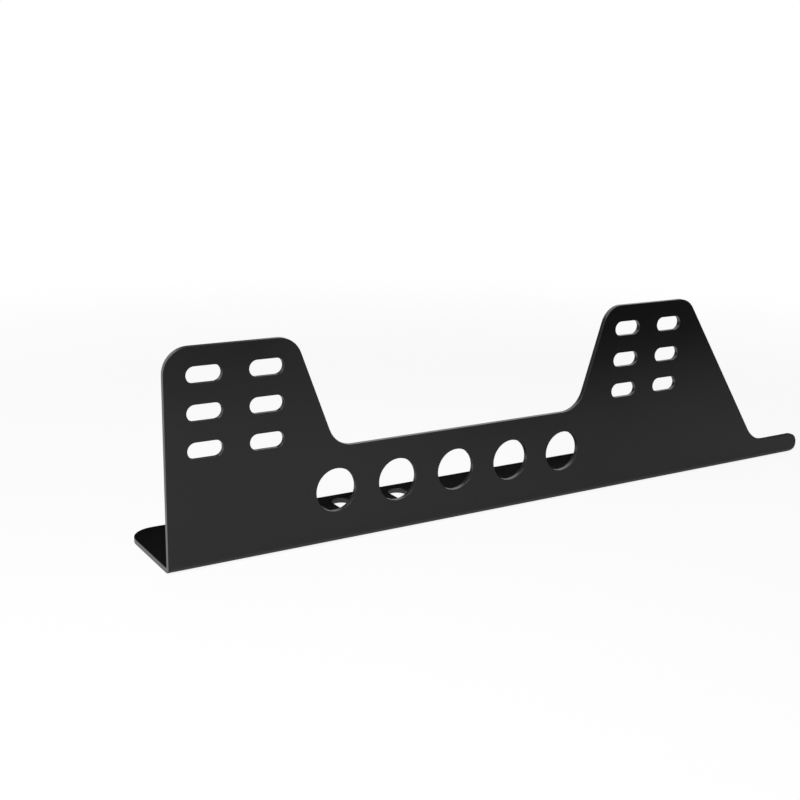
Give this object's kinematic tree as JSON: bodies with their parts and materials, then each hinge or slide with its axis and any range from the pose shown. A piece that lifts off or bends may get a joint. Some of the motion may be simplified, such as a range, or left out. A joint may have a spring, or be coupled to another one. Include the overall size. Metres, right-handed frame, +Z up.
{
  "type": "seat side mount",
  "caption": "Long folded steel angle with two slotted lobes for a seat's side bolts, a low waist with round holes, a short tail and a slotted foot.",
  "frame": {"origin": "middle of the base rectangle, on the floor under the foot", "axes": "+X from the front edge to the tail, +Y from the web's outer face across the foot, +Z up"},
  "size_m": [0.477, 0.065, 0.12],
  "materials": {
    "powder_coat": "satin black powder coat over steel"
  },
  "bodies": {
    "root": {"side_mount_bracket": "powder_coat"}
  },
  "joints": []
}
